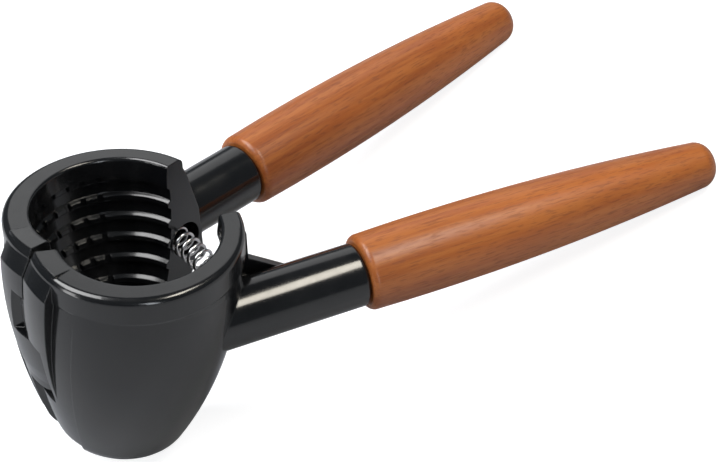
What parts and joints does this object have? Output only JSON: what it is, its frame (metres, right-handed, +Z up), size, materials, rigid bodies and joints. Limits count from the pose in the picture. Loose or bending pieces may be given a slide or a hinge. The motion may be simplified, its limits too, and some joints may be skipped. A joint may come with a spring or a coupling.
{
  "type": "hand nutcracker",
  "caption": "Hand nutcracker with a hinged, toothed metal cup that holds the nut, turned wooden handles and a coil spring that opens it.",
  "frame": {"origin": "centre of the footprint, on the surface that the nutcracker lies on", "axes": "+X from the cup towards the handle tips, +Z up from the surface, +Y from the front jaw to the rear jaw"},
  "size_m": [0.188, 0.1044, 0.0724],
  "materials": {
    "black_enamel": "gloss",
    "turned_wood": "satin",
    "plain_steel": "satin",
    "bright_steel": "gloss"
  },
  "bodies": {
    "front": {"front_jaw": "black_enamel", "front_handle": "turned_wood", "front_handle_stud": "plain_steel", "hinge_pin": "plain_steel", "spring": "bright_steel"},
    "rear": {"rear_jaw": "black_enamel", "rear_handle": "turned_wood", "rear_handle_stud": "plain_steel"}
  },
  "joints": [
    {"name": "jaw_hinge", "type": "hinge", "parent": "front", "child": "rear", "pos_m": [-0.08323, 0, 0.07208], "axis": [0.0944, 0, 0.9955], "range_deg": [-23.4, 0], "stiffness_Nm_per_rad": 2, "springref_deg": 8.59, "deforming": ["spring"]}
  ]
}
